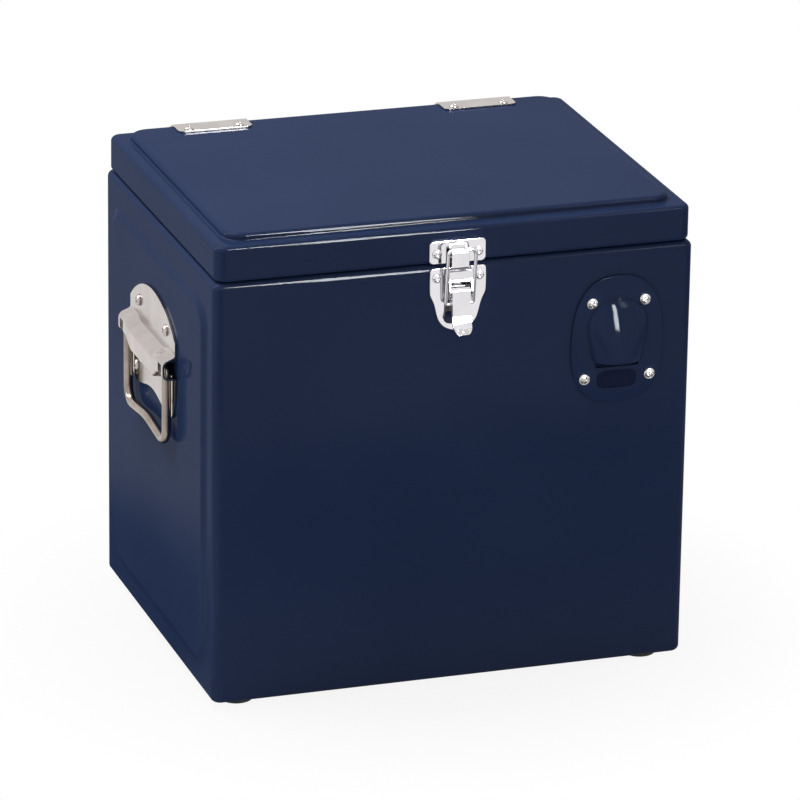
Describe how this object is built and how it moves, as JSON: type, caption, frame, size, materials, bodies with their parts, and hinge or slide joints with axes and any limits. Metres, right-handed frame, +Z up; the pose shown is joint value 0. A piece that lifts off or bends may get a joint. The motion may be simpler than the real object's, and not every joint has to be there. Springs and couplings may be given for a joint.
{
  "type": "insulated picnic cooler chest",
  "caption": "Box-shaped insulated steel cooler chest with hinged lid, draw latch, wall bottle opener and drop side handles.",
  "frame": {"origin": "centre of the bounding box at the level of the feet", "axes": "+X to the right of someone facing the front, +Y to the back, +Z up"},
  "size_m": [0.3662, 0.2929, 0.3406],
  "materials": {
    "navy_paint": "gloss powder coat",
    "chrome": "polished",
    "nickel": "satin nickel plate",
    "bright_steel": "bright zinc",
    "white_plastic": "smooth moulded",
    "foam": "rigid foam",
    "rubber": "matt",
    "gasket": "matt"
  },
  "bodies": {
    "chest": {"body_foam": "foam", "foot_back_left": "rubber", "foot_back_right": "rubber", "foot_front_left": "rubber", "foot_front_right": "rubber", "foot_screw_back_left": "bright_steel", "foot_screw_back_right": "bright_steel", "foot_screw_front_left": "bright_steel", "foot_screw_front_right": "bright_steel", "handle_plate_left": "nickel", "handle_plate_right": "nickel", "handle_screw_left_1": "bright_steel", "handle_screw_left_2": "bright_steel", "handle_screw_left_3": "bright_steel", "handle_screw_left_4": "bright_steel", "handle_screw_right_1": "bright_steel", "handle_screw_right_2": "bright_steel", "handle_screw_right_3": "bright_steel", "handle_screw_right_4": "bright_steel", "hinge_body_leaf_left": "nickel", "hinge_body_leaf_right": "nickel", "hinge_leaf_screw_left_1": "bright_steel", "hinge_leaf_screw_left_2": "bright_steel", "hinge_leaf_screw_right_1": "bright_steel", "hinge_leaf_screw_right_2": "bright_steel", "hinge_pin_left": "bright_steel", "hinge_pin_right": "bright_steel", "inner_tub": "white_plastic", "latch_base": "chrome", "latch_base_rivet_left": "chrome", "latch_base_rivet_right": "chrome", "latch_pin": "bright_steel", "opener_plate": "navy_paint", "opener_screw_1": "bright_steel", "opener_screw_2": "bright_steel", "opener_screw_3": "bright_steel", "opener_screw_4": "bright_steel", "outer_shell": "navy_paint"},
    "lid": {"hinge_lid_leaf_left": "nickel", "hinge_lid_leaf_right": "nickel", "hinge_strap_screw_left_1": "bright_steel", "hinge_strap_screw_left_2": "bright_steel", "hinge_strap_screw_right_1": "bright_steel", "hinge_strap_screw_right_2": "bright_steel", "latch_strike": "chrome", "latch_strike_rivet_left": "chrome", "latch_strike_rivet_right": "chrome", "lid_foam": "foam", "lid_gasket": "gasket", "lid_pan": "white_plastic", "lid_shell": "navy_paint"},
    "latch_lever": {"latch_lever": "chrome"},
    "latch_loop": {"latch_loop": "chrome"},
    "handle_bail_left": {"handle_bail_left": "nickel"},
    "handle_bail_right": {"handle_bail_right": "nickel"}
  },
  "joints": [
    {"name": "lid_hinge", "type": "hinge", "parent": "chest", "child": "lid", "pos_m": [0, 0.143, 0.3073], "axis": [-1, 0, 0], "range_deg": [0, 100]},
    {"name": "latch_lever_swing", "type": "hinge", "parent": "chest", "child": "latch_lever", "pos_m": [0, -0.136, 0.29], "axis": [-1, 0, 0], "range_deg": [-8, 120]},
    {"name": "latch_loop_swing", "type": "hinge", "parent": "latch_lever", "child": "latch_loop", "pos_m": [0, -0.13527, 0.28081], "axis": [-1, 0, 0], "range_deg": [-240, 16]},
    {"name": "left_bail_swing", "type": "hinge", "parent": "chest", "child": "handle_bail_left", "pos_m": [-0.178, 0.004, 0.22], "axis": [0, 1, 0], "range_deg": [0, 95]},
    {"name": "right_bail_swing", "type": "hinge", "parent": "chest", "child": "handle_bail_right", "pos_m": [0.178, 0.004, 0.22], "axis": [0, -1, 0], "range_deg": [0, 95]}
  ],
  "couplings": [
    {"joint": "latch_loop_swing", "follows": "latch_lever_swing", "ratio": -2}
  ]
}
